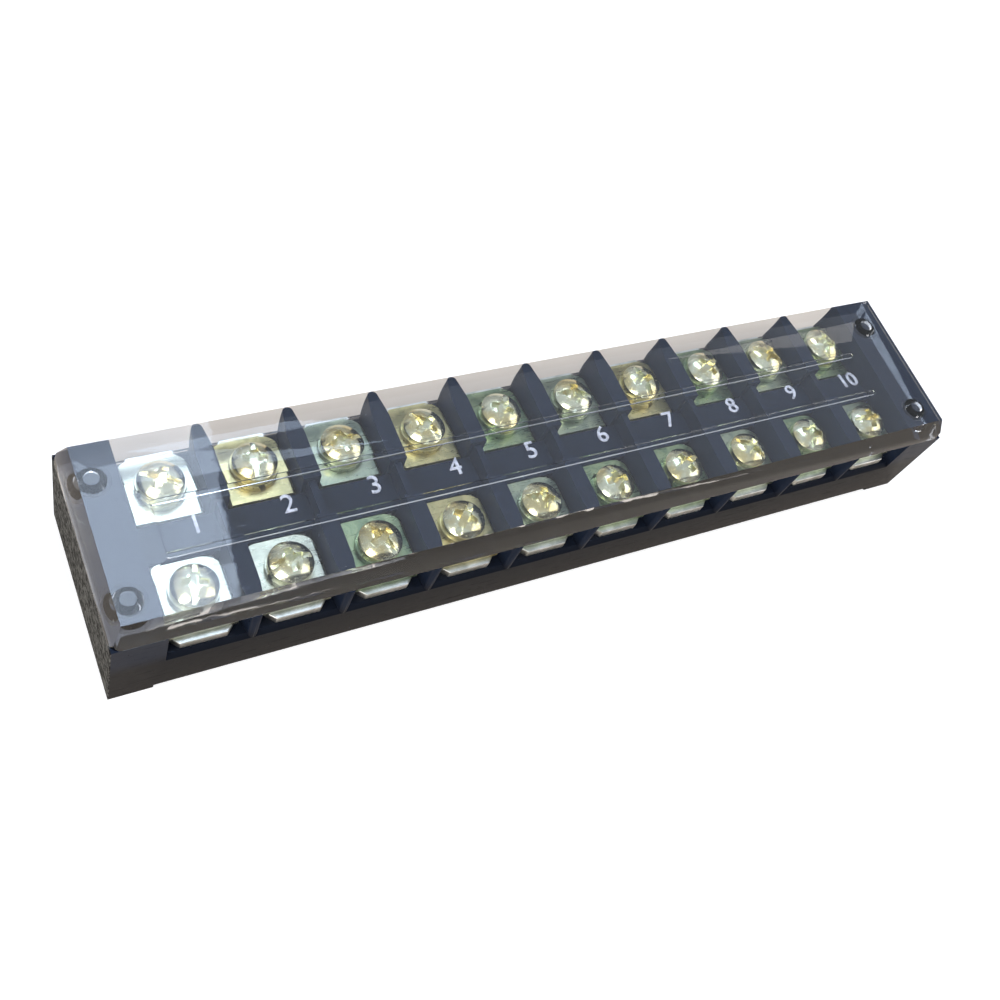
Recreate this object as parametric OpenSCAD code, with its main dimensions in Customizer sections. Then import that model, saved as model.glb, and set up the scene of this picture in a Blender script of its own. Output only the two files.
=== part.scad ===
// Double-row barrier terminal strip with a clear snap-on cover.
// Origin: middle of the underside. +X along the strip, +Y to the back row, +Z up.

/* [Strip] */
// Number of positions along the strip
ways = 10; // [2:1:10]
// Distance from one position to the next
pitch = 9.9; // [9.8:0.1:11]
// Depth of the base, from the front side to the back side
base_w = 22.1; // [22:0.1:24]
// Height of the end blocks, which carry the cover
base_h = 12.2; // [12.1:0.1:14]
// Length of each end block
end_l = 5.5; // [5:0.1:7]

/* [Bays] */
// Height of the bay floor
sill_z = 7.2; // [6.6:0.1:7.3]
// Chamfer along the outer edge of the bay floor
sill_chamfer = 0.5; // [0.1:0.1:0.6]
// Thickness of a barrier beside the clamp plates
barrier_t = 2; // [1.2:0.1:2.1]
// Thickness of a barrier at its rounded outer nose
nose_t = 1.2; // [0.8:0.1:1.2]
// Length over which a barrier tapers to its nose
taper_l = 2.6; // [1:0.1:4]
// Space between the top of a barrier and the cover's ribs
barrier_drop = 0.05; // [0.02:0.01:0.3]
// Thickness of the low web that joins two barriers across the middle
web_t = 0.8; // [0.6:0.1:1.2]
// Distance from the barrier top down to the web top
web_drop = 0.6; // [0.2:0.1:1.2]
// Distance between the two screw rows
row_gap = 12.1; // [12:0.1:13]
// Width of the raised block between the rows
block_w = 4.3; // [3:0.1:4.4]
// Height of that block above the bay floor
block_rise = 1.8; // [1.7:0.1:2.2]

/* [Underside] */
// Height of the feet under the end blocks
foot_h = 0.6; // [0.2:0.1:1]
// Length of each foot
foot_l = 4.6; // [3:0.1:5]
// Corner radius of the moulding pockets
pocket_r = 0.8; // [0.3:0.1:1.5]
// Width of a moulding pocket along the strip
pocket_l = 6.4; // [4:0.1:7.5]
// Depth of a moulding pocket from front to back
pocket_w = 5.2; // [3:0.1:5.4]
// Plastic left between a pocket and the bay floor
pocket_roof = 2; // [1:0.1:3]

/* [Conductors] */
// Width of a conductor strip
strip_w = 6.6; // [5.6:0.1:7.2]
// Thickness of a conductor strip
strip_t = 1.1; // [0.8:0.1:1.2]
// Distance from the end of a conductor strip to the side of the base
strip_inset = 0.65; // [0.4:0.05:1.5]
// Chamfer at the corners of a conductor strip
strip_chamfer = 0.9; // [0.3:0.1:1.5]
// Wall of the drawn collar that holds the thread
collar_wall = 0.7; // [0.4:0.1:0.8]
// Depth of the drawn collar under the strip
collar_h = 1.3; // [0.6:0.1:2]

/* [Clamps] */
// Width of a clamp plate along the strip
plate_w = 7.3; // [6.8:0.1:7.4]
// Depth of a clamp plate from front to back
plate_d = 7.4; // [6.8:0.1:7.5]
// Thickness of a clamp plate
plate_t = 0.8; // [0.6:0.1:0.9]
// Radius of the plate's left rear corner
plate_r_left = 1.2; // [0.5:0.1:2]
// Radius of the plate's right rear corner
plate_r_right = 2.1; // [0.5:0.1:2.6]
// Bevel along the left and right edges of a plate
plate_bevel = 0.3; // [0.1:0.05:0.5]
// Outside diameter of the split lock washer
lock_d = 5.2; // [4.8:0.1:6]
// Thickness of the split lock washer
lock_t = 0.7; // [0.5:0.1:0.8]
// Width of the split in the lock washer
lock_split = 0.6; // [0.3:0.1:1]
// Tilt of the split in the lock washer, in degrees
lock_slant = 25; // [0:5:40]

/* [Screws] */
// Diameter of the screw thread
thread_d = 3; // [2.9:0.1:3.2]
// Length of the screw under its head
screw_l = 6; // [5:0.1:6.4]
// Chamfer at the screw's tip
tip_chamfer = 0.45; // [0.2:0.05:0.6]
// Diameter of the screw head
head_d = 4.8; // [4.4:0.1:5.6]
// Height of the screw head
head_h = 1.6; // [1.5:0.1:1.7]
// Height of the head's straight rim under its dome
head_rim = 0.7; // [0.4:0.1:0.9]
// Width of the straight slot across the head
slot_w = 0.55; // [0.4:0.05:0.8]
// Depth of the straight slot
slot_depth = 0.75; // [0.4:0.05:0.9]
// Width of the arms of the cross recess
cross_w = 0.85; // [0.6:0.05:1]
// Span of the cross recess
cross_span = 2.7; // [2:0.1:3]
// Depth of the cross recess
cross_depth = 1.05; // [0.8:0.05:1.2]
// Diameter of the cone in the middle of the recess
cone_d = 1.7; // [1.2:0.1:2]

/* [Cover] */
// Thickness of the clear cover
cover_t = 3; // [2:0.1:4]
// Inset of the cover's top face from its underside, all round
cover_slope = 1.2; // [0.2:0.1:1.6]
// Radius of the cover's upright corners
cover_r = 1.2; // [0.4:0.1:2]
// Distance of each rib under the cover from the middle
rib_y = 3; // [2.6:0.1:3.2]
// Width of a rib
rib_w = 0.6; // [0.4:0.1:0.8]
// Height of a rib
rib_h = 0.3; // [0.1:0.05:0.35]
// Distance from the end of a rib to the end of the strip
rib_inset = 7.4; // [6:0.1:10]
// Outside diameter of a cover peg
peg_d = 3; // [2.8:0.1:3.3]
// Diameter of the hollow in a peg
peg_bore = 1.6; // [0.8:0.1:1.8]
// Length of a peg under the cover
peg_l = 5; // [3:0.1:5.2]
// How far the hollow goes on into the cover plate
peg_bore_extra = 0.8; // [0.2:0.1:1.2]
// Distance of the pegs from the middle, front and back
peg_y = 6.7; // [5:0.1:8]
// Chamfer at the end of a peg
peg_chamfer = 0.3; // [0.1:0.05:0.5]

/* [Fixing] */
// Diameter of the mounting holes in the underside
mount_d = 2.5; // [2:0.1:2.6]

/* [Fits] */
// Radial clearance of a screw in its threaded collar
thread_clear = 0.05; // [0.02:0.01:0.1]
// Radial clearance of a screw in a clamp plate and lock washer
plate_clear = 0.15; // [0.1:0.05:0.3]
// Radial clearance of a collar in its well
well_clear = 0.3; // [0.1:0.05:0.5]
// Space under the tip of a screw in its well
tip_clear = 0.6; // [0.3:0.1:1]
// Clearance of a conductor strip in its tunnel
tunnel_clear = 0.05; // [0.02:0.01:0.1]
// Radial clearance of a peg in its socket
peg_clear = 0.05; // [0.02:0.01:0.1]
// Depth of a socket below the end of its peg
peg_spare = 0.5; // [0.2:0.1:1]
// Lead-in chamfer round the mouth of a socket
socket_chamfer = 0.4; // [0.1:0.1:0.6]
// Space between pieces that seat on each other
seat_gap = 0.03; // [0.01:0.01:0.1]

/* [Hidden] */
$fn = 48;
over = 1; // how far a cutting shape runs past the face it opens

base_l = ways * pitch - barrier_t + 2 * end_l;
bays_l = base_l - 2 * end_l;
bay_w = pitch - barrier_t;
rib_z = base_h + seat_gap - rib_h;
barrier_h = rib_z - barrier_drop;
web_h = barrier_h - web_drop;
block_h = sill_z + block_rise;
row_y = row_gap / 2;

strip_top = sill_z + strip_t;
strip_l = base_w - 2 * strip_inset;
collar_r = thread_d / 2 + thread_clear + collar_wall;
well_r = collar_r + well_clear;
plate_z = strip_top + seat_gap;
lock_z = plate_z + plate_t + seat_gap;
head_z = lock_z + lock_t + seat_gap;
tip_z = head_z - screw_l;
well_floor = tip_z - tip_clear;
dome_rise = head_h - head_rim;
dome_r = (pow(head_d / 2, 2) + pow(dome_rise, 2)) / (2 * dome_rise);
plate_hole_r = thread_d / 2 + plate_clear;

cover_z = base_h + seat_gap;
peg_x = base_l / 2 - end_l / 2;
socket_r = peg_d / 2 + peg_clear;
socket_z = cover_z - peg_l - peg_spare;
rib_l = base_l - 2 * rib_inset;
turn_step = 37; // how far each recess is turned on from the one before, in degrees

function two_digits(k) = str(k < 10 ? "0" : "", k);
function bay_x(k) = (k - (ways + 1) / 2) * pitch;
function barrier_x(k) = (k - ways / 2) * pitch;

// Box centred in x and y, from z_low to z_high
module block(l, w, z_low, z_high) {
    translate([-l / 2, -w / 2, z_low]) cube([l, w, z_high - z_low]);
}

// Puts its child at the four corner pegs
module at_corners() {
    for (sx = [-1, 1], sy = [-1, 1]) translate([sx * peg_x, sy * peg_y, 0]) children();
}

// Puts its child at both screws of position k
module at_rows(k) {
    for (sy = [-1, 1]) translate([bay_x(k), sy * row_y, 0]) children();
}

// Plan of one barrier half: straight beside the clamp, then tapered to a round nose
module barrier_plan() {
    nose_y = base_w / 2 - nose_t / 2;
    taper_y = nose_y - taper_l;
    polygon([
        [-barrier_t / 2, block_w / 2], [-barrier_t / 2, taper_y], [-nose_t / 2, nose_y],
        [nose_t / 2, nose_y], [barrier_t / 2, taper_y], [barrier_t / 2, block_w / 2]
    ]);
    translate([0, nose_y]) circle(d = nose_t);
}

// A barrier with its front half, its back half and the web between them
module barrier() {
    foot_z = sill_z - sill_chamfer - over;
    for (turn = [0, 180]) rotate(turn)
        translate([0, 0, foot_z]) linear_extrude(barrier_h - foot_z) barrier_plan();
    block(web_t, block_w + over, foot_z, web_h);
}

// Slab under the bays, with its outer top edges chamfered
module slab() {
    edge = base_w / 2;
    rotate([90, 0, 90]) translate([0, 0, -bays_l / 2 - over]) linear_extrude(bays_l + 2 * over)
        polygon([
            [-edge, foot_h], [edge, foot_h], [edge, sill_z - sill_chamfer],
            [edge - sill_chamfer, sill_z], [-edge + sill_chamfer, sill_z], [-edge, sill_z - sill_chamfer]
        ]);
}

// Rounded hollow in the underside, between the wells of one position
module pocket() {
    half_l = pocket_l / 2 - pocket_r;
    half_w = pocket_w / 2 - pocket_r;
    z_top = sill_z - pocket_roof;
    block(pocket_l, 2 * half_w, -over, z_top);
    block(2 * half_l, pocket_w, -over, z_top);
    for (sx = [-1, 1], sy = [-1, 1]) translate([sx * half_l, sy * half_w, -over])
        cylinder(r = pocket_r, h = z_top + over);
}

module base_housing() {
    color([0.05, 0.05, 0.08]) difference() {
        union() {
            slab();
            for (s = [-1, 1]) translate([s * (base_l - end_l) / 2, 0, 0]) {
                block(end_l, base_w, foot_h, base_h);
                translate([s * (end_l - foot_l) / 2, 0, 0]) block(foot_l, base_w, 0, foot_h + over);
            }
            block(bays_l + over, block_w, sill_z - over, block_h);
            for (k = [1:ways - 1]) translate([barrier_x(k), 0, 0]) barrier();
        }
        for (k = [1:ways]) {
            translate([bay_x(k), 0, 0]) {
                block(strip_w + 2 * tunnel_clear, block_w + over, sill_z, strip_top + tunnel_clear);
                pocket();
            }
            at_rows(k) translate([0, 0, well_floor]) cylinder(r = well_r, h = sill_z - well_floor + over);
        }
        at_corners() {
            translate([0, 0, socket_z]) cylinder(r = socket_r, h = base_h - socket_z + over);
            translate([0, 0, base_h - socket_chamfer])
                cylinder(r1 = socket_r, r2 = socket_r + socket_chamfer + over, h = socket_chamfer + over);
            translate([0, 0, -over]) cylinder(d = mount_d, h = socket_z + 2 * over);
        }
    }
}

// Flat strip that joins the two screws of position k, with a drawn collar under each
module conductor(k) {
    half_w = strip_w / 2;
    half_l = strip_l / 2;
    inner_w = half_w - strip_chamfer;
    inner_l = half_l - strip_chamfer;
    color([0.80, 0.80, 0.76]) difference() {
        union() {
            translate([bay_x(k), 0, sill_z]) linear_extrude(strip_t) polygon([
                [-half_w, -inner_l], [-inner_w, -half_l], [inner_w, -half_l], [half_w, -inner_l],
                [half_w, inner_l], [inner_w, half_l], [-inner_w, half_l], [-half_w, inner_l]
            ]);
            at_rows(k) translate([0, 0, sill_z - collar_h]) cylinder(r = collar_r, h = collar_h + strip_t / 2);
        }
        at_rows(k) translate([0, 0, sill_z - collar_h - over])
            cylinder(r = thread_d / 2 + thread_clear, h = collar_h + strip_t + 2 * over);
    }
}

// Plan of a clamp plate, with its two rear corners rounded
module plate_plan() {
    half_w = plate_w / 2;
    half_d = plate_d / 2;
    left_x = -half_w + plate_r_left;
    right_x = half_w - plate_r_right;
    left_y = half_d - plate_r_left;
    right_y = half_d - plate_r_right;
    polygon([
        [-half_w, -half_d], [half_w, -half_d], [half_w, right_y], [right_x, right_y],
        [right_x, half_d], [left_x, half_d], [left_x, left_y], [-half_w, left_y]
    ]);
    translate([left_x, left_y]) circle(r = plate_r_left);
    translate([right_x, right_y]) circle(r = plate_r_right);
}

// Square clamp plate with bevelled sides
module clamp_plate() {
    half_w = plate_w / 2;
    intersection() {
        linear_extrude(plate_t) difference() {
            plate_plan();
            circle(r = plate_hole_r);
        }
        rotate([90, 0, 0]) translate([0, 0, -plate_d]) linear_extrude(2 * plate_d) polygon([
            [-half_w, -over], [half_w, -over], [half_w, plate_t - plate_bevel],
            [half_w - plate_bevel, plate_t], [-half_w + plate_bevel, plate_t], [-half_w, plate_t - plate_bevel]
        ]);
    }
}

// Split lock washer with a slanted cut
module lock_washer(turn) {
    difference() {
        cylinder(d = lock_d, h = lock_t);
        translate([0, 0, -over]) cylinder(r = plate_hole_r, h = lock_t + 2 * over);
        rotate(turn) translate([0, lock_d / 2, lock_t / 2]) rotate([0, lock_slant, 0])
            cube([lock_split, lock_d, lock_t * 3], center = true);
    }
}

module clamp(k, side) {
    turn = turn_step * (2 * k + side);
    translate([bay_x(k), side * row_y, 0]) {
        color([0.66, 0.68, 0.42]) translate([0, 0, plate_z]) clamp_plate();
        color([0.60, 0.60, 0.45]) translate([0, 0, lock_z]) lock_washer(turn);
    }
}

// Domed head with a straight slot and a cross recess, seen from its own underside
module screw_head() {
    difference() {
        intersection() {
            cylinder(d = head_d, h = head_h);
            translate([0, 0, head_h - dome_r]) sphere(r = dome_r);
        }
        block(head_d + over, slot_w, head_h - slot_depth, head_h + over);
        for (turn = [0, 90]) rotate(turn) block(cross_span, cross_w, head_h - cross_depth, head_h + over);
        translate([0, 0, head_h - cross_depth]) cylinder(d1 = cross_w, d2 = cone_d, h = cross_depth + over / 10);
    }
}

module screw(k, side) {
    turn = turn_step * (3 * k + side);
    color([0.78, 0.80, 0.52]) translate([bay_x(k), side * row_y, 0]) {
        translate([0, 0, head_z]) rotate(turn) screw_head();
        translate([0, 0, tip_z + tip_chamfer]) cylinder(d = thread_d, h = screw_l - tip_chamfer + head_rim / 2);
        translate([0, 0, tip_z]) cylinder(d1 = thread_d - 2 * tip_chamfer, d2 = thread_d, h = tip_chamfer);
    }
}

// Trapezoid with its long side down, extruded both ways from the middle
module sloped_bar(width, length) {
    translate([0, 0, -length / 2]) linear_extrude(length) polygon([
        [-width / 2, 0], [width / 2, 0], [width / 2 - cover_slope, cover_t], [-width / 2 + cover_slope, cover_t]
    ]);
}

// Cover plate: both sloped bars and a round-cornered block, where they meet
module cover_plate() {
    intersection() {
        rotate([90, 0, 0]) sloped_bar(base_l, base_w + over);
        rotate([90, 0, 90]) sloped_bar(base_w, base_l + over);
        union() {
            block(base_l - 2 * cover_r, base_w, -over, cover_t + over);
            block(base_l, base_w - 2 * cover_r, -over, cover_t + over);
            for (sx = [-1, 1], sy = [-1, 1])
                translate([sx * (base_l / 2 - cover_r), sy * (base_w / 2 - cover_r), -over])
                    cylinder(r = cover_r, h = cover_t + 2 * over);
        }
    }
}

// Rib with round ends under the cover
module cover_rib() {
    straight = rib_l - rib_w;
    translate([0, 0, -rib_h]) {
        block(straight, rib_w, 0, rib_h + over / 2);
        for (s = [-1, 1]) translate([s * straight / 2, 0, 0]) cylinder(d = rib_w, h = rib_h + over / 2);
    }
}

module clear_cover() {
    color([0.85, 0.88, 0.95, 0.35]) translate([0, 0, cover_z]) difference() {
        union() {
            cover_plate();
            for (s = [-1, 1]) translate([0, s * rib_y, 0]) cover_rib();
            at_corners() {
                translate([0, 0, peg_chamfer - peg_l]) cylinder(d = peg_d, h = peg_l - peg_chamfer + over / 2);
                translate([0, 0, -peg_l]) cylinder(d1 = peg_d - 2 * peg_chamfer, d2 = peg_d, h = peg_chamfer);
            }
        }
        at_corners() translate([0, 0, -peg_l - over]) cylinder(d = peg_bore, h = peg_l + over + peg_bore_extra);
    }
}

base_housing();
clear_cover();
for (k = [1:ways]) {
    conductor(k);
    clamp(k, -1);
    clamp(k, 1);
    screw(k, -1);
    screw(k, 1);
}
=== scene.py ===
import math

import bmesh
import bpy
from mathutils import Matrix, Vector


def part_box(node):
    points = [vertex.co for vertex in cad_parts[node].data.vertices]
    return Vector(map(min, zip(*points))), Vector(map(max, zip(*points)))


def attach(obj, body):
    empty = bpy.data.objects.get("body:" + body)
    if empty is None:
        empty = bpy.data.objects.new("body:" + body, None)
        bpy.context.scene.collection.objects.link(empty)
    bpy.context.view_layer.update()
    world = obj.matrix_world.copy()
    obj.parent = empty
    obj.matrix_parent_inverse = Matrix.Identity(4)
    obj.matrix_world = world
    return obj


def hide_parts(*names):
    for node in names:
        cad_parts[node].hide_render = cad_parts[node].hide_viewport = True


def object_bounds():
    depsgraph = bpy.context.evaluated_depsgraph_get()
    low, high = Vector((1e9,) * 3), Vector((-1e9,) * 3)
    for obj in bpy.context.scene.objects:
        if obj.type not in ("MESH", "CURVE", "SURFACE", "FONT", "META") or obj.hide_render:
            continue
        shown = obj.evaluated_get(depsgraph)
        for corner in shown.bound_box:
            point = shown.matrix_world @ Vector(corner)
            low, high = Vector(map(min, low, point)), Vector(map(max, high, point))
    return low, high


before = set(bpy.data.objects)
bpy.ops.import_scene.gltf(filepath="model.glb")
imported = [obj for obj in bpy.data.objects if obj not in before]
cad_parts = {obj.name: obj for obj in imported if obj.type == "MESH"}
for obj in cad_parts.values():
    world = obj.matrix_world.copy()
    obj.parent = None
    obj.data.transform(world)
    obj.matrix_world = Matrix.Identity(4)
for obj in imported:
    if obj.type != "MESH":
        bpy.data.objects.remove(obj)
cadLow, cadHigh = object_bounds()
print("frame loaded:", len(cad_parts), "nodes")

mm = 0.001
rowSides = ("front", "back")
ways = sum(name.startswith("conductor_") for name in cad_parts)
wayNames = [f"{way:02d}" for way in range(1, ways + 1)]


def middleOf(node):
    low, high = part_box(node)
    return (Vector(low) + Vector(high)) / 2


# lengths in millimetres, angles in degrees
cameraView = {
    "aim": (-6.774, -2.282, 6), "azimuth": 50.321, "elevation": 55.478, "distance": 137.81, "roll": 31.37,
    "lens": 42.31, "sensor": 36, "clipStart": 5, "clipEnd": 20000,
}


def makeCamera(view):
    azimuth, elevation = math.radians(view["azimuth"]), math.radians(view["elevation"])
    forward = Vector((math.sin(azimuth) * math.cos(elevation), math.cos(azimuth) * math.cos(elevation),
                      -math.sin(elevation)))
    place = Vector(view["aim"]) * mm - forward * view["distance"] * mm
    facing = forward.to_track_quat("-Z", "Y").to_matrix().to_4x4()
    turn = facing @ Matrix.Rotation(math.radians(view["roll"]), 4, "Z")
    lensData = bpy.data.cameras.new("studioCamera")
    lensData.lens, lensData.sensor_width = view["lens"], view["sensor"]
    lensData.clip_start, lensData.clip_end = view["clipStart"] * mm, view["clipEnd"] * mm
    camera = bpy.data.objects.new("studioCamera", lensData)
    camera.matrix_world = Matrix.Translation(place) @ turn
    bpy.context.scene.collection.objects.link(camera)
    bpy.context.scene.camera = camera


makeCamera(cameraView)
print("camera set")


class Wire:
    # a socket that takes part in Python sums; each sum adds a Math node
    def __init__(self, tree, socket):
        self.tree, self.socket = tree, socket

    def maths(self, operation, other):
        return self.tree.add("ShaderNodeMath", {"operation": operation}, {0: self, 1: other})

    def __add__(self, other):
        return self.maths("ADD", other)

    def __sub__(self, other):
        return self.maths("SUBTRACT", other)

    def __mul__(self, other):
        return self.maths("MULTIPLY", other)

    def __rsub__(self, other):
        return self.tree.add("ShaderNodeMath", {"operation": "SUBTRACT"}, {0: other, 1: self})

    __radd__, __rmul__ = __add__, __mul__

    def limited(self):
        return self.tree.add("ShaderNodeClamp", {}, {"Value": self})

    def ramp(self, start, end):
        # 0 at start and 1 at end, eased between them
        return self.tree.add("ShaderNodeMapRange", {"interpolation_type": "SMOOTHSTEP"},
                             {"Value": self, "From Min": start, "From Max": end})


class ShaderTree:
    def __init__(self, owner):
        owner.use_nodes = True
        self.tree = owner.node_tree
        self.tree.nodes.clear()

    def add(self, kind, settings, inputs, output=0):
        # one node: its settings first, then the values or links of its sockets
        node = self.tree.nodes.new(kind)
        for name, value in settings.items():
            setattr(node, name, value)
        for name, value in inputs.items():
            if isinstance(value, Wire):
                self.tree.links.new(value.socket, node.inputs[name])
            else:
                node.inputs[name].default_value = value
        return Wire(self, node.outputs[output]) if node.outputs else node

    def place(self, stretch=(1, 1, 1), turn=(0, 0, 0)):
        # object coordinates in millimetres
        spot = self.add("ShaderNodeTexCoord", {}, {}, "Object")
        return self.add("ShaderNodeMapping", {}, {"Vector": spot, "Rotation": [math.radians(a) for a in turn],
                                                  "Scale": [s / mm for s in stretch]})

    def axes(self):
        split = self.add("ShaderNodeSeparateXYZ", {}, {"Vector": self.place()})
        outputs = split.socket.node.outputs
        return [Wire(self, outputs[axis]) for axis in "XYZ"]

    def noise(self, spot, scale, detail=4, roughness=0.6, distortion=0):
        return self.add("ShaderNodeTexNoise", {}, {"Vector": spot, "Scale": scale, "Detail": detail,
                                                   "Roughness": roughness, "Distortion": distortion})

    def mixColour(self, factor, first, second):
        first, second = [c if isinstance(c, Wire) else (*c, 1) for c in (first, second)]
        return self.add("ShaderNodeMix", {"data_type": "RGBA"}, {0: factor, 6: first, 7: second}, 2)

    def bump(self, height, distance, strength=1):
        return self.add("ShaderNodeBump", {}, {"Height": height, "Distance": distance * mm,
                                               "Strength": strength})

    def surface(self, shader):
        self.add("ShaderNodeOutputMaterial", {}, {"Surface": shader})


def makeFinish(name, draw):
    material = bpy.data.materials.new(name)
    draw(ShaderTree(material))
    return material


# noise scales are per millimetre, ramps are pairs of limits, depths are in millimetres
# the navy on the housing's higher surfaces is a painted sky reflection, and the grey of its left end is
# painted light
housingFinish = {
    "black": (0.006, 0.007, 0.010), "skyReflectionNavy": (0.012, 0.018, 0.034), "skyReflectionHeights": (6, 9),
    "wearAndLitGrey": (0.16, 0.16, 0.15), "crack": (0.015, 0.015, 0.015), "endReach": (0.15, 0.05),
    "mottle": 1.6, "mottleRamp": (0.42, 0.60), "grain": 0.9, "pores": 6,
    "scratch": 2.4, "scratchStretch": (0.15, 2.2, 2.2), "scratchTurn": (0, 0, 8),
    "scratchRamp": (0.60, 0.72),
    "gloss": 0.30, "grainRough": 0.18, "scratchRough": 0.2, "endRough": 0.45,
    "specular": 0.06, "ior": 1.5, "poreShare": 0.4, "grainShare": 0.6, "depth": 0.02, "strength": 0.4,
}


def drawHousing(tree):
    look = housingFinish
    x, _, z = tree.axes()
    grain = tree.noise(tree.place(), look["grain"], 6, 0.65)
    pores = tree.noise(tree.place(), look["pores"], 3)
    scratch = tree.noise(tree.place(look["scratchStretch"], look["scratchTurn"]), look["scratch"], 2)
    # painted sky reflection: the higher surfaces turn navy for the sky they reflect, the lower ones stay
    # black
    colour = tree.mixColour(z.ramp(*look["skyReflectionHeights"]), look["black"], look["skyReflectionNavy"])
    # painted light: the left end is dull grey for the strong light falling on it from the left, with short
    # dark cracks of its sawn face
    leftEnd = cadLow.x / mm
    endFace = x.ramp(*[leftEnd + reach for reach in look["endReach"]])
    cracks = tree.noise(tree.place(), look["mottle"], 8, 0.7, 0.6).ramp(*look["mottleRamp"])
    colour = tree.mixColour(endFace, colour, tree.mixColour(cracks, look["crack"], look["wearAndLitGrey"]))
    rough = look["gloss"] + (grain - 0.5) * look["grainRough"]
    rough = rough + scratch.ramp(*look["scratchRamp"]) * look["scratchRough"] + endFace * look["endRough"]
    height = pores * look["poreShare"] + grain * look["grainShare"]
    tree.surface(tree.add("ShaderNodeBsdfPrincipled", {}, {
        "Base Color": colour, "Roughness": rough.limited(), "Specular IOR Level": look["specular"],
        "IOR": look["ior"], "Normal": tree.bump(height, look["depth"], look["strength"])}))


coverFinish = {
    "tint": (0.975, 0.985, 1.0), "ior": 1.49, "haze": 0.02,
    "scratch": 1.7, "scratchStretch": (0.10, 2.6, 2.6), "scratchTurn": (0, 0, 24),
    "scratchRamp": (0.66, 0.72),
    "scuff": 1.4, "scuffStretch": (2.8, 0.12, 2.8), "scuffTurn": (0, 0, -17), "scuffRamp": (0.68, 0.74),
    "dust": 2.6, "dustRamp": (0.62, 0.8), "scratchRough": 0.16, "scuffRough": 0.12, "dustRough": 0.1,
    "wave": 0.35, "depth": 0.02, "strength": 0.25,
}


def drawCover(tree):
    look = coverFinish
    scratch = tree.noise(tree.place(look["scratchStretch"], look["scratchTurn"]), look["scratch"], 3)
    scuff = tree.noise(tree.place(look["scuffStretch"], look["scuffTurn"]), look["scuff"], 3)
    dust = tree.noise(tree.place(), look["dust"], 6, 0.75)
    rough = look["haze"] + scratch.ramp(*look["scratchRamp"]) * look["scratchRough"]
    rough = rough + scuff.ramp(*look["scuffRamp"]) * look["scuffRough"]
    rough = rough + dust.ramp(*look["dustRamp"]) * look["dustRough"]
    wave = tree.noise(tree.place(), look["wave"], 2)
    glass = tree.add("ShaderNodeBsdfPrincipled", {}, {
        "Base Color": (*look["tint"], 1), "Roughness": rough.limited(), "IOR": look["ior"],
        "Transmission Weight": 1, "Normal": tree.bump(wave, look["depth"], look["strength"])})
    # lamps shine straight through
    clear = tree.add("ShaderNodeBsdfTransparent", {}, {"Color": (*look["tint"], 1)})
    lampRay = tree.add("ShaderNodeLightPath", {}, {}, "Is Shadow Ray")
    tree.surface(tree.add("ShaderNodeMixShader", {}, {0: lampRay, 1: glass, 2: clear}))


tinFinish = {
    "bright": (0.78, 0.78, 0.74), "dull": (0.52, 0.53, 0.48), "cloud": 0.5, "cloudRamp": (0.35, 0.65),
    "drag": 2.0, "dragStretch": (2.4, 0.25, 1), "rough": 0.24, "dragRough": 0.2,
    "depth": 0.01, "strength": 0.3,
}


def drawTin(tree):
    look = tinFinish
    cloud = tree.noise(tree.place(), look["cloud"], 4)
    drag = tree.noise(tree.place(look["dragStretch"]), look["drag"], 3)
    rough = look["rough"] + drag * look["dragRough"]
    tree.surface(tree.add("ShaderNodeBsdfPrincipled", {}, {
        "Base Color": tree.mixColour(cloud.ramp(*look["cloudRamp"]), look["dull"], look["bright"]),
        "Metallic": 1.0, "Roughness": rough.limited(),
        "Normal": tree.bump(drag, look["depth"], look["strength"])}))


# bright and dull colour of each tint
zincTints = {
    "Cream": ((0.66, 0.68, 0.55), (0.50, 0.52, 0.42)),
    "Gold": ((0.62, 0.55, 0.28), (0.42, 0.38, 0.20)),
    "Sage": ((0.42, 0.47, 0.34), (0.28, 0.33, 0.26)),
    "Green": ((0.36, 0.44, 0.26), (0.20, 0.28, 0.18)),
}
zincFinish = {
    "cloud": 0.45, "cloudRamp": (0.36, 0.62),
    "drag": 1.8, "dragStretch": (0.3, 2.6, 1), "dragTurn": (0, 0, 12),
    "stain": (0.16, 0.14, 0.07), "spots": 2.6, "stainRamp": (0.60, 0.74), "stainShare": 0.6,
    "rough": 0.30, "dragRough": 0.25, "spotRamp": (0.55, 0.75), "spotRough": 0.15,
    "spotHeight": 0.5, "depth": 0.012, "strength": 0.5,
}


def drawZinc(bright, dull):
    def draw(tree):
        look = zincFinish
        cloud = tree.noise(tree.place(), look["cloud"], 5, 0.6, 0.8)
        drag = tree.noise(tree.place(look["dragStretch"], look["dragTurn"]), look["drag"], 3)
        spots = tree.noise(tree.place(), look["spots"], 4, 0.7)
        colour = tree.mixColour(cloud.ramp(*look["cloudRamp"]), dull, bright)
        colour = tree.mixColour(spots.ramp(*look["stainRamp"]) * look["stainShare"], colour, look["stain"])
        rough = look["rough"] + (drag - 0.5) * look["dragRough"]
        rough = rough + spots.ramp(*look["spotRamp"]) * look["spotRough"]
        tree.surface(tree.add("ShaderNodeBsdfPrincipled", {}, {
            "Base Color": colour, "Metallic": 1.0, "Roughness": rough.limited(),
            "Normal": tree.bump(drag + spots * look["spotHeight"], look["depth"], look["strength"])}))
    return draw


screwFinish = {
    "bright": (0.72, 0.74, 0.56), "gold": (0.66, 0.58, 0.30), "cloud": 0.3, "cloudRamp": (0.40, 0.60),
    "pits": 3.4, "pitRamp": (0.5, 0.8), "rough": 0.17, "pitRough": 0.25, "depth": 0.01, "strength": 0.4,
}


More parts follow.
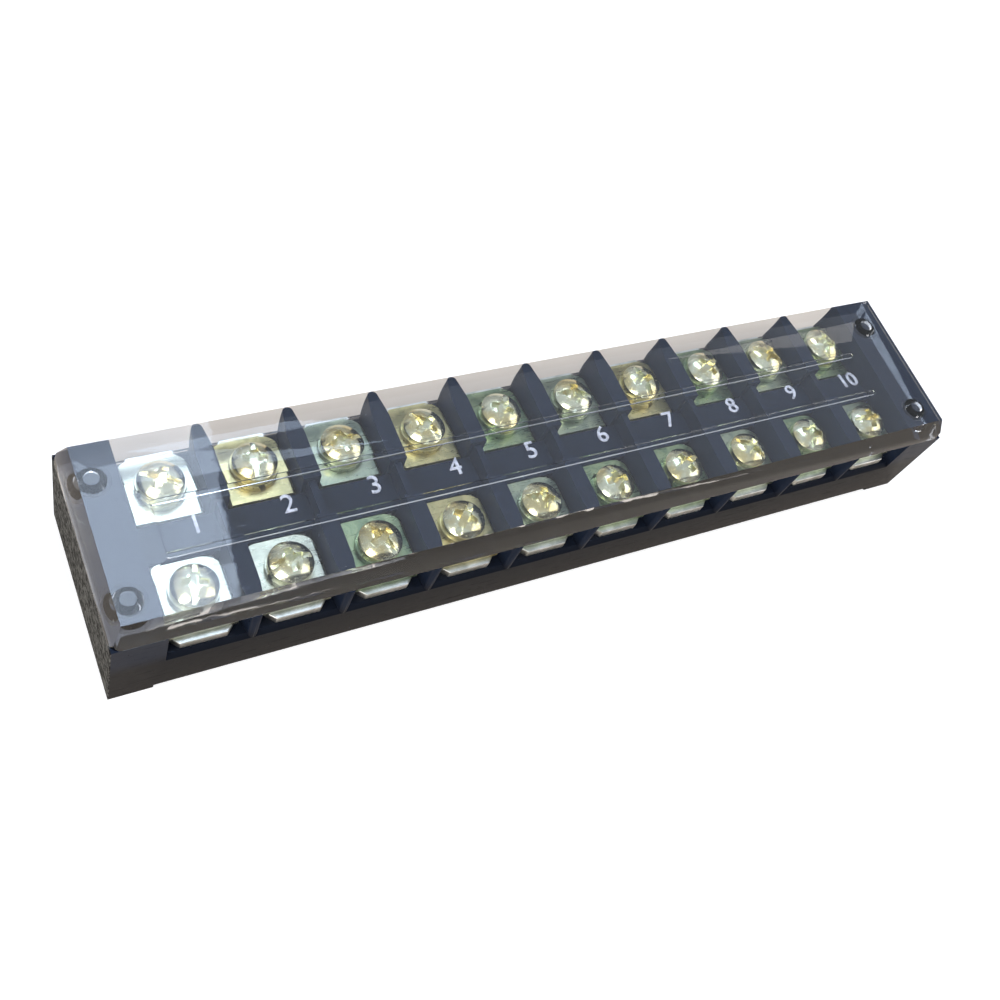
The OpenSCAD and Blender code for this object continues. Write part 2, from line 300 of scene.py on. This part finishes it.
def drawScrew(tree):
    look = screwFinish
    cloud = tree.noise(tree.place(), look["cloud"], 4, 0.6)
    pits = tree.noise(tree.place(), look["pits"], 4, 0.7)
    rough = look["rough"] + pits.ramp(*look["pitRamp"]) * look["pitRough"]
    tree.surface(tree.add("ShaderNodeBsdfPrincipled", {}, {
        "Base Color": tree.mixColour(cloud.ramp(*look["cloudRamp"]), look["bright"], look["gold"]),
        "Metallic": 1.0, "Roughness": rough.limited(),
        "Normal": tree.bump(pits, look["depth"], look["strength"])}))


digitFinish = {
    "wearAndLitGrey": (0.34, 0.36, 0.44), "bright": (0.62, 0.64, 0.72), "wear": 2.2, "wearRamp": (0.35, 0.6),
    "rough": 0.35, "wearRough": 0.3, "depth": 0.01, "strength": 0.4,
}


def drawDigit(tree):
    look = digitFinish
    wear = tree.noise(tree.place(), look["wear"], 4)
    rough = look["rough"] + wear * look["wearRough"]
    tree.surface(tree.add("ShaderNodeBsdfPrincipled", {}, {
        "Base Color": tree.mixColour(wear.ramp(*look["wearRamp"]), look["wearAndLitGrey"], look["bright"]),
        "Roughness": rough.limited(), "Normal": tree.bump(wear, look["depth"], look["strength"])}))


housingBlack = makeFinish("housingBlack", drawHousing)
coverClear = makeFinish("coverClear", drawCover)
tinPlate = makeFinish("tinPlate", drawTin)
zincPlate = {tint: makeFinish("zinc" + tint, drawZinc(*colours)) for tint, colours in zincTints.items()}
screwZinc = makeFinish("screwZinc", drawScrew)
digitSilver = makeFinish("digitSilver", drawDigit)
print("finishes made:", len(bpy.data.materials))


def finishPiece(name, form, body, material):
    # a bmesh becomes a piece that sits at the origin and rides on a body
    mesh = bpy.data.meshes.new(name)
    form.to_mesh(mesh)
    form.free()
    piece = bpy.data.objects.new(name, mesh)
    bpy.context.scene.collection.objects.link(piece)
    mesh.materials.append(material)
    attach(piece, body)
    return piece


copySettings = {"merge": 0.0005, "flatAngle": 0.2}


def copyNode(node):
    # the CAD solid with its loose triangles joined and its flat faces whole again
    form = bmesh.new()
    form.from_mesh(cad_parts[node].data)
    bmesh.ops.remove_doubles(form, verts=form.verts, dist=copySettings["merge"] * mm)
    bmesh.ops.dissolve_limit(form, angle_limit=math.radians(copySettings["flatAngle"]),
                             verts=form.verts, edges=form.edges)
    return form


edgeSettings = {"segments": 2, "angle": 35}


def softenEdges(piece, width):
    sharpAngle = math.radians(edgeSettings["angle"])
    for polygon in piece.data.polygons:
        polygon.use_smooth = True
    piece.data.set_sharp_from_angle(angle=sharpAngle)
    bevel = piece.modifiers.new("edges", "BEVEL")
    bevel.width, bevel.segments = width * mm, edgeSettings["segments"]
    bevel.limit_method, bevel.angle_limit = "ANGLE", sharpAngle
    bevel.harden_normals = True
    bevel.use_clamp_overlap = True


def dressNode(name, node, body, material, edge):
    piece = finishPiece(name, copyNode(node), body, material)
    softenEdges(piece, edge)
    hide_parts(node)


housingForm = {"edge": 0.12}


def dressHousing():
    dressNode("housing_moulding", "base_housing", "base", housingBlack, housingForm["edge"])


coverForm = {"edge": 0.10}


def dressCover():
    dressNode("cover_moulding", "clear_cover", "cover", coverClear, coverForm["edge"])


conductorForm = {"edge": 0.10}


def dressConductors():
    for way in wayNames:
        dressNode(f"conductor_strip_{way}", f"conductor_{way}", "base", tinPlate,
                  conductorForm["edge"])


# tints run from position 1 to the last
clampForm = {
    "edge": 0.10,
    "back": "Cream Gold Sage Gold Green Sage Gold Green Sage Green",
    "front": "Cream Cream Green Gold Sage Green Green Sage Green Sage",
}


def dressClamps():
    for side in rowSides:
        for way, tint in zip(wayNames, clampForm[side].split()):
            node = f"clamp_{side}_{way}"
            dressNode(f"clamp_plate_{side}_{way}", node, node, zincPlate[tint], clampForm["edge"])


screwForm = {"edge": 0.05}


def dressScrews():
    for side in rowSides:
        for way in wayNames:
            node = f"screw_{side}_{way}"
            dressNode(f"screw_head_{side}_{way}", node, node, screwZinc, screwForm["edge"])


dressHousing()
dressCover()
dressConductors()
dressClamps()
dressScrews()
print("pieces dressed")

digitForm = {
    "height": 2.3, "capShare": 0.72,  # height of a numeral, and its share of the font size
    "rise": 0.18, "curveSteps": 6, "merge": 0.001,
    "fromBarrier": 2.6, "y": 1.1, "blockTop": 9.0,
}


def addDigits():
    pitch = middleOf("conductor_02").x - middleOf("conductor_01").x
    for number, way in enumerate(wayNames, 1):
        words = bpy.data.curves.new(f"digit_{way}", "FONT")
        words.body, words.size = str(number), digitForm["height"] / digitForm["capShare"] * mm
        words.extrude, words.align_x, words.align_y = digitForm["rise"] * mm, "CENTER", "CENTER"
        words.resolution_u = digitForm["curveSteps"]
        holder = bpy.data.objects.new(words.name, words)
        bpy.context.scene.collection.objects.link(holder)
        bpy.context.view_layer.update()
        shape = bpy.data.meshes.new_from_object(holder.evaluated_get(bpy.context.evaluated_depsgraph_get()))
        bpy.data.objects.remove(holder)
        form = bmesh.new()
        form.from_mesh(shape)
        bmesh.ops.remove_doubles(form, verts=form.verts, dist=digitForm["merge"] * mm)
        centre = Vector((middleOf(f"conductor_{way}").x + pitch / 2 - digitForm["fromBarrier"] * mm,
                         digitForm["y"] * mm, digitForm["blockTop"] * mm))
        bmesh.ops.translate(form, vec=centre, verts=form.verts)
        finishPiece(f"digit_{way}", form, "base", digitSilver)


addDigits()
print("numbers added")

stageLook = {"table": (0.80, 0.70, 0.60), "white": 0.80, "glow": 0.45, "size": 6000}


def drawStage(tree):
    look = stageLook
    cameraRay = tree.add("ShaderNodeLightPath", {}, {}, "Is Camera Ray")
    plain = tree.add("ShaderNodeBsdfDiffuse", {}, {"Color": (*look["table"], 1)})
    pale = tree.add("ShaderNodeBsdfDiffuse", {}, {"Color": (look["white"],) * 3 + (1,)})
    glow = tree.add("ShaderNodeEmission", {}, {"Strength": look["glow"]})
    seen = tree.add("ShaderNodeAddShader", {}, {0: pale, 1: glow})
    tree.surface(tree.add("ShaderNodeMixShader", {}, {0: cameraRay, 1: plain, 2: seen}))


def makeStage():
    form = bmesh.new()
    bmesh.ops.create_grid(form, x_segments=1, y_segments=1, size=stageLook["size"] * mm)
    mesh = bpy.data.meshes.new("table")
    form.to_mesh(mesh)
    form.free()
    table = bpy.data.objects.new("table", mesh)
    mesh.materials.append(makeFinish("tablePale", drawStage))
    bpy.context.scene.collection.objects.link(table)


worldLook = {"low": (0.30, 0.31, 0.33), "high": (0.62, 0.66, 0.72), "rise": (-0.1, 0.9), "strength": 1.0}


def drawWorld(tree):
    look = worldLook
    ray = tree.add("ShaderNodeTexCoord", {}, {}, "Generated")
    up = tree.add("ShaderNodeSeparateXYZ", {}, {"Vector": ray}, "Z")
    sky = tree.mixColour(up.ramp(*look["rise"]), look["low"], look["high"])
    cameraRay = tree.add("ShaderNodeLightPath", {}, {}, "Is Camera Ray")
    colour = tree.mixColour(cameraRay, sky, (1, 1, 1))
    background = tree.add("ShaderNodeBackground", {}, {"Color": colour, "Strength": look["strength"]})
    tree.add("ShaderNodeOutputWorld", {}, {"Surface": background})


# each lamp shines at the origin from a direction
lamps = {
    "window": {"from": (0.02, 0.46, 0.88), "distance": 420, "size": (90, 260), "power": 0.35,
               "colour": (0.66, 0.80, 1.0)},
    "key": {"from": (-0.70, -0.45, 0.75), "distance": 500, "size": (260, 260), "power": 1.2,
            "colour": (1.0, 0.98, 0.95)},
    "fill": {"from": (0.75, -0.35, 0.60), "distance": 500, "size": (300, 300), "power": 0.6,
             "colour": (1.0, 0.97, 0.93)},
}


def makeLamps():
    for name, look in lamps.items():
        lampData = bpy.data.lights.new(name, "AREA")
        lampData.shape = "RECTANGLE"
        lampData.size, lampData.size_y = [side * mm for side in look["size"]]
        lampData.energy, lampData.color = look["power"], look["colour"]
        lamp = bpy.data.objects.new(name, lampData)
        source = Vector(look["from"]).normalized()
        lamp.matrix_world = (Matrix.Translation(source * look["distance"] * mm)
                             @ source.to_track_quat("Z", "Y").to_matrix().to_4x4())
        bpy.context.scene.collection.objects.link(lamp)


makeStage()
bpy.context.scene.world = bpy.data.worlds.new("studio")
drawWorld(ShaderTree(bpy.context.scene.world))
makeLamps()
bpy.context.scene.view_settings.view_transform = "Standard"
print("stage lit")
